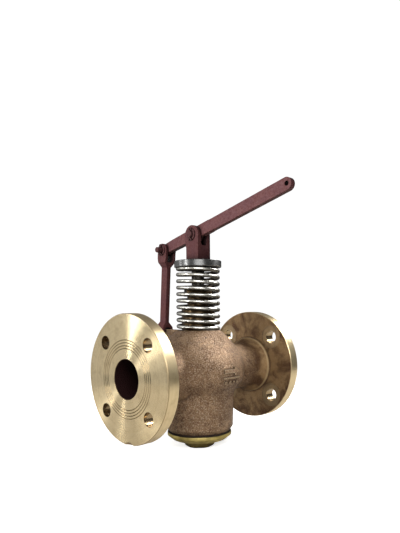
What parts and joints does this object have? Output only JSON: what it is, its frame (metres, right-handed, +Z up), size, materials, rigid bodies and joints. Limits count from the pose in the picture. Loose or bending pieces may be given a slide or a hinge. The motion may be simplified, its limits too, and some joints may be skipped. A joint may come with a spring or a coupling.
{
  "type": "pressure relief valve",
  "caption": "Flanged bronze relief valve with an open spring above the body, a disc held up against its seat by the spindle, and a hand easing lever on a swinging link.",
  "frame": {"origin": "centre of the inlet flange face", "axes": "+X along the pipe from inlet to outlet, +Y to the side that carries the swinging link (the handle points to -Y), +Z up along the spindle"},
  "size_m": [0.25, 0.2506, 0.349],
  "materials": {
    "cast_bronze": "as-cast bronze, machined on the flange faces and rims",
    "turned_bronze": "turned",
    "cap_brass": "turned, slightly tarnished",
    "gasket_fibre": "pressed fibre",
    "seal_rubber": "moulded",
    "packing_braid": "greased braid",
    "spindle_steel": "ground",
    "spring_steel": "bright plated wire",
    "cap_steel": "turned",
    "plain_steel": "drawn wire",
    "oxide_paint": "matte red-oxide paint over rough forgings"
  },
  "bodies": {
    "casing": {"valve_body": "cast_bronze", "seat_ring": "turned_bronze", "bottom_cap": "cap_brass", "cap_gasket": "gasket_fibre", "stuffing_box": "turned_bronze", "gland_packing": "packing_braid", "gland_follower": "turned_bronze", "gland_nut": "turned_bronze", "relief_spring": "spring_steel", "link_foot_pin": "oxide_paint", "link_foot_washer": "oxide_paint", "link_foot_split_pin": "plain_steel"},
    "spindle_set": {"spindle": "spindle_steel", "seal_retainer": "turned_bronze", "disc_seal": "seal_rubber", "valve_disc": "turned_bronze", "disc_nut": "turned_bronze", "spring_cap": "cap_steel", "clevis": "oxide_paint", "clevis_pin": "oxide_paint", "clevis_washer": "oxide_paint", "clevis_split_pin": "plain_steel"},
    "hand_lever": {"lever": "oxide_paint"},
    "swing_link": {"fulcrum_link": "oxide_paint", "fulcrum_pin": "oxide_paint", "fulcrum_washer": "oxide_paint", "fulcrum_split_pin": "plain_steel"}
  },
  "joints": [
    {"name": "spindle_lift", "type": "slide", "parent": "casing", "child": "spindle_set", "axis": [0, 0, -1], "range_m": [0, 0.012], "stiffness_N_per_m": 6000, "springref_m": -0.03, "deforming": ["relief_spring"]},
    {"name": "lever_pivot", "type": "hinge", "parent": "spindle_set", "child": "hand_lever", "pos_m": [0.125, 0, 0.191], "axis": [1, 0, 0], "range_deg": [0, 10.2]},
    {"name": "link_swing", "type": "hinge", "parent": "casing", "child": "swing_link", "pos_m": [0.125, 0.0765, 0.047], "axis": [1, 0, 0], "range_deg": [-0.9, 0]}
  ],
  "couplings": [
    {"joint": "lever_pivot", "follows": "spindle_lift", "rad_per_m": 14.78},
    {"joint": "link_swing", "follows": "spindle_lift", "rad_per_m": -1.2}
  ]
}
